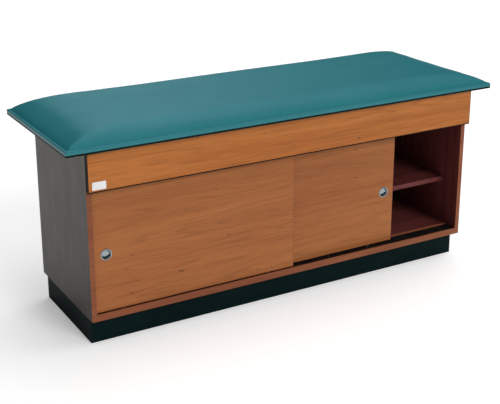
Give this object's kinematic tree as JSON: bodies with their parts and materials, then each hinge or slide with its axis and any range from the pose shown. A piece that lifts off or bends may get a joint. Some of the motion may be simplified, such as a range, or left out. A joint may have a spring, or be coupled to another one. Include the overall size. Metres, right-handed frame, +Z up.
{
  "type": "cabinet treatment table",
  "caption": "Long treatment table: a crowned upholstered top on a closed cupboard with bypass sliding doors, a shelf and a recessed plinth.",
  "frame": {"origin": "on the floor under the centre of the padded top", "axes": "+X along the table to the right of someone in front of the doors, +Y to the back, +Z up"},
  "size_m": [1.829, 0.61, 0.803],
  "materials": {
    "vinyl": "satin",
    "foam": "matte",
    "plywood": "matte",
    "side_laminate": "satin",
    "inner_laminate": "satin",
    "back_board": "satin",
    "cherry_laminate": "satin",
    "cherry_edge": "satin",
    "black_edge": "satin",
    "frame_wood": "matte",
    "black_laminate": "satin",
    "track_plastic": "satin",
    "nylon": "satin",
    "housing_plastic": "matte",
    "zinc_steel": "satin",
    "chrome_cup": "polished"
  },
  "bodies": {
    "cabinet": {"back_panel": "back_board", "bottom_panel": "inner_laminate", "carcass_dowels": "frame_wood", "centre_partition": "inner_laminate", "deck_board": "plywood", "deck_brackets": "zinc_steel", "fascia": "cherry_laminate", "fascia_bottom_band": "black_edge", "floor_edge_band": "cherry_edge", "floor_panel": "inner_laminate", "foam_pad": "foam", "front_top_rail": "frame_wood", "left_fascia_end_band": "black_edge", "left_shelf": "inner_laminate", "left_shelf_edge_band": "inner_laminate", "left_side_edge_band": "cherry_edge", "left_side_panel": "side_laminate", "lower_track": "track_plastic", "partition_edge_band": "cherry_edge", "plinth_back": "black_laminate", "plinth_brace": "black_laminate", "plinth_corner_blocks": "frame_wood", "plinth_front": "black_laminate", "plinth_left_end": "black_laminate", "plinth_right_end": "black_laminate", "rear_top_rail": "frame_wood", "right_fascia_end_band": "black_edge", "right_shelf": "inner_laminate", "right_shelf_edge_band": "inner_laminate", "right_side_edge_band": "cherry_edge", "right_side_panel": "side_laminate", "shelf_pins": "zinc_steel", "sill_strip": "cherry_laminate", "track_header": "frame_wood", "upper_track": "track_plastic", "vinyl_cover": "vinyl"},
    "left_door": {"left_door": "cherry_laminate", "left_door_axles": "zinc_steel", "left_door_edge_band": "cherry_edge", "left_door_guides": "nylon", "left_door_pull": "chrome_cup", "left_door_roller_housings": "housing_plastic"},
    "right_door": {"right_door": "cherry_laminate", "right_door_axles": "zinc_steel", "right_door_edge_band": "cherry_edge", "right_door_guides": "nylon", "right_door_pull": "chrome_cup", "right_door_roller_housings": "housing_plastic"},
    "left_door_left_wheel": {"left_door_left_wheel": "nylon"},
    "left_door_right_wheel": {"left_door_right_wheel": "nylon"},
    "right_door_left_wheel": {"right_door_left_wheel": "nylon"},
    "right_door_right_wheel": {"right_door_right_wheel": "nylon"}
  },
  "joints": [
    {"name": "left_door_slide", "type": "slide", "parent": "cabinet", "child": "left_door", "axis": [1, 0, 0], "range_m": [0, 0.803]},
    {"name": "right_door_slide", "type": "slide", "parent": "cabinet", "child": "right_door", "axis": [1, 0, 0], "range_m": [-0.491, 0.312]},
    {"name": "left_door_left_wheel_spin", "type": "hinge", "parent": "left_door", "child": "left_door_left_wheel", "pos_m": [-0.702, -0.2365, 0.1323], "axis": [0, 1, 0], "continuous": true},
    {"name": "left_door_right_wheel_spin", "type": "hinge", "parent": "left_door", "child": "left_door_right_wheel", "pos_m": [-0.101, -0.2365, 0.1323], "axis": [0, 1, 0], "continuous": true},
    {"name": "right_door_left_wheel_spin", "type": "hinge", "parent": "right_door", "child": "right_door_left_wheel", "pos_m": [-0.211, -0.2125, 0.1323], "axis": [0, 1, 0], "continuous": true},
    {"name": "right_door_right_wheel_spin", "type": "hinge", "parent": "right_door", "child": "right_door_right_wheel", "pos_m": [0.39, -0.2125, 0.1323], "axis": [0, 1, 0], "continuous": true}
  ],
  "couplings": [
    {"joint": "left_door_left_wheel_spin", "follows": "left_door_slide", "rad_per_m": 125},
    {"joint": "left_door_right_wheel_spin", "follows": "left_door_slide", "rad_per_m": 125},
    {"joint": "right_door_left_wheel_spin", "follows": "right_door_slide", "rad_per_m": 125},
    {"joint": "right_door_right_wheel_spin", "follows": "right_door_slide", "rad_per_m": 125}
  ]
}
